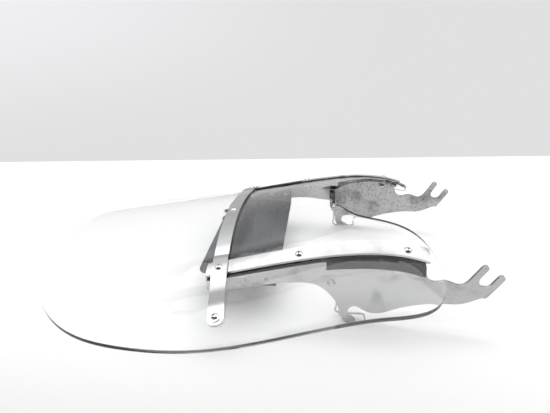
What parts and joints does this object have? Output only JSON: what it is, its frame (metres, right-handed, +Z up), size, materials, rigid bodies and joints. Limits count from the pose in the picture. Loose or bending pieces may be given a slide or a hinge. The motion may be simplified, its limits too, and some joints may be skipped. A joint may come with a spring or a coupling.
{
  "type": "motorcycle windshield",
  "caption": "Curved clear motorcycle windshield on polished braces, with side brackets whose notches and wire latches hook onto grommets.",
  "frame": {"origin": "on the surface it lies on, under the middle of its box", "axes": "+X from the screen's top edge to the forks, +Y to the rider's left, +Z up out of the surface, the screen's outer face up"},
  "size_m": [0.6439, 0.472, 0.1207],
  "materials": {
    "clear_polycarbonate": "clear, glossy, dark at its cut edge",
    "polished_chrome": "mirror-bright chrome plate",
    "polished_steel": "polished plated sheet, slightly brushed",
    "worn_zinc_steel": "scuffed satin plating with small dark pits",
    "spring_wire": "bright drawn wire",
    "dark_sheet_steel": "dark blued sheet",
    "zinc_fastener": "zinc plate",
    "chrome_screw": "polished chrome",
    "brass_bush": "plain turned",
    "black_rubber": "matt moulded rubber",
    "black_tape": "matt foam tape",
    "white_nylon": "plain nylon"
  },
  "bodies": {
    "windshield": {"screen": "clear_polycarbonate", "horizontal_brace": "polished_chrome", "horizontal_tape": "black_tape", "inner_cross_plate": "polished_steel", "cross_plate_rivets": "zinc_fastener", "strap_end_screws": "chrome_screw", "strap_centre_screw": "chrome_screw", "crossing_screws": "chrome_screw", "brace_screws": "chrome_screw", "strap_end_cups": "polished_chrome", "strap_nuts": "chrome_screw", "crossing_nuts": "chrome_screw", "brace_nuts": "chrome_screw", "strap_washers": "white_nylon", "vertical_brace_left": "polished_chrome", "outer_tape_left": "black_tape", "inner_gasket_left": "black_rubber", "side_bracket_left": "worn_zinc_steel", "latch_clip_left": "dark_sheet_steel", "latch_bush_left": "brass_bush", "latch_pivot_bolt_left": "zinc_fastener", "latch_pivot_nut_left": "zinc_fastener", "vertical_brace_right": "polished_chrome", "outer_tape_right": "black_tape", "inner_gasket_right": "black_rubber", "side_bracket_right": "worn_zinc_steel", "latch_clip_right": "dark_sheet_steel", "latch_bush_right": "brass_bush", "latch_pivot_bolt_right": "zinc_fastener", "latch_pivot_nut_right": "zinc_fastener"},
    "latch_left": {"latch_spring_left": "spring_wire"},
    "latch_right": {"latch_spring_right": "spring_wire"}
  },
  "joints": [
    {"name": "latch_left_lift", "type": "hinge", "parent": "windshield", "child": "latch_left", "pos_m": [0.1114, 0.131, 0.056], "axis": [0, 1, 0], "range_deg": [0, 35], "stiffness_Nm_per_rad": 0.12, "springref_deg": -20.05},
    {"name": "latch_right_lift", "type": "hinge", "parent": "windshield", "child": "latch_right", "pos_m": [0.1114, -0.131, 0.056], "axis": [0, 1, 0], "range_deg": [0, 35], "stiffness_Nm_per_rad": 0.12, "springref_deg": -20.05}
  ]
}
